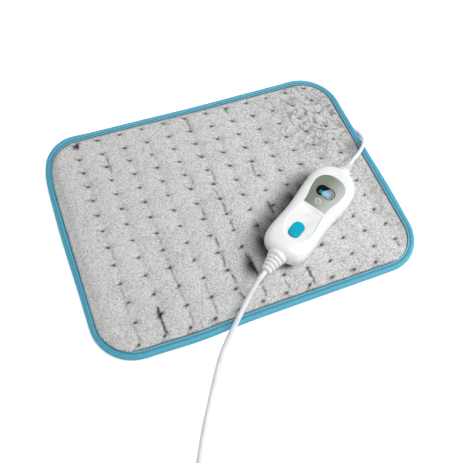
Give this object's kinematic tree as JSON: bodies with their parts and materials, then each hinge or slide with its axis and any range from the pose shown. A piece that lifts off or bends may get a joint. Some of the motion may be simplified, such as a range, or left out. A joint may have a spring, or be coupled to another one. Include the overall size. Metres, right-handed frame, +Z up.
{
  "type": "heating pad with controller",
  "caption": "Flat quilted heating pad with piped edge, a hand controller with display and push button, the lead between them, and a mains cord with plug.",
  "frame": {"origin": "middle of the pad's underside, on the surface it lies on", "axes": "+X along the pad's long side, +Y along its short side towards the far edge, +Z up out of the quilted face"},
  "size_m": [0.4061, 0.5406, 0.0387],
  "materials": {
    "plush": "short-pile plush",
    "backing": "brushed knit",
    "piping": "satin binding",
    "wadding": "polyester wadding",
    "felt": "non-woven sheet",
    "silicone": "matt",
    "cord_jacket": "satin",
    "housing": "semi-gloss",
    "boot": "satin",
    "panel": "satin foil",
    "window": "clear tinted",
    "display": "lit",
    "button": "satin",
    "dark_moulding": "matt",
    "board": "solder mask",
    "film_box": "satin",
    "can": "sleeved can",
    "zinc": "zinc plated",
    "pin": "nickel plated brass",
    "live_core": "satin",
    "neutral_core": "satin",
    "strap": "hook-and-loop"
  },
  "bodies": {
    "pad_and_controller": {"top_cover": "plush", "bottom_cover": "backing", "edge_piping": "piping", "wadding": "wadding", "wire_carrier": "felt", "heating_wire": "silicone", "wire_end_sleeve": "silicone", "lead_joint_block": "cord_jacket", "pad_lead": "cord_jacket", "upper_housing": "housing", "lower_housing": "housing", "mains_boot": "boot", "lead_boot": "boot", "display_panel": "panel", "display_window": "window", "display_module": "display", "switch_body": "dark_moulding", "circuit_board": "board", "film_capacitor": "film_box", "smoothing_capacitor": "can", "triac": "dark_moulding", "control_chip": "dark_moulding", "fuse": "dark_moulding", "housing_screw_1": "zinc", "housing_screw_2": "zinc", "housing_screw_3": "zinc", "housing_screw_4": "zinc", "board_screw_1": "zinc", "board_screw_2": "zinc", "mains_wire_live": "live_core", "mains_wire_neutral": "neutral_core", "heater_wire_live": "live_core", "heater_wire_neutral": "neutral_core", "mains_cord": "cord_jacket", "mains_cord_coil": "cord_jacket", "coil_tie": "strap", "plug_boot": "cord_jacket", "plug_body": "cord_jacket", "plug_pin_1": "pin", "plug_pin_2": "pin", "plug_sleeve_1": "dark_moulding", "plug_sleeve_2": "dark_moulding"},
    "button": {"push_button": "button", "switch_plunger": "housing"}
  },
  "joints": [
    {"name": "button_press", "type": "slide", "parent": "pad_and_controller", "child": "button", "axis": [0, 0, 1], "range_m": [-0.0009, 0], "stiffness_N_per_m": 1800}
  ]
}
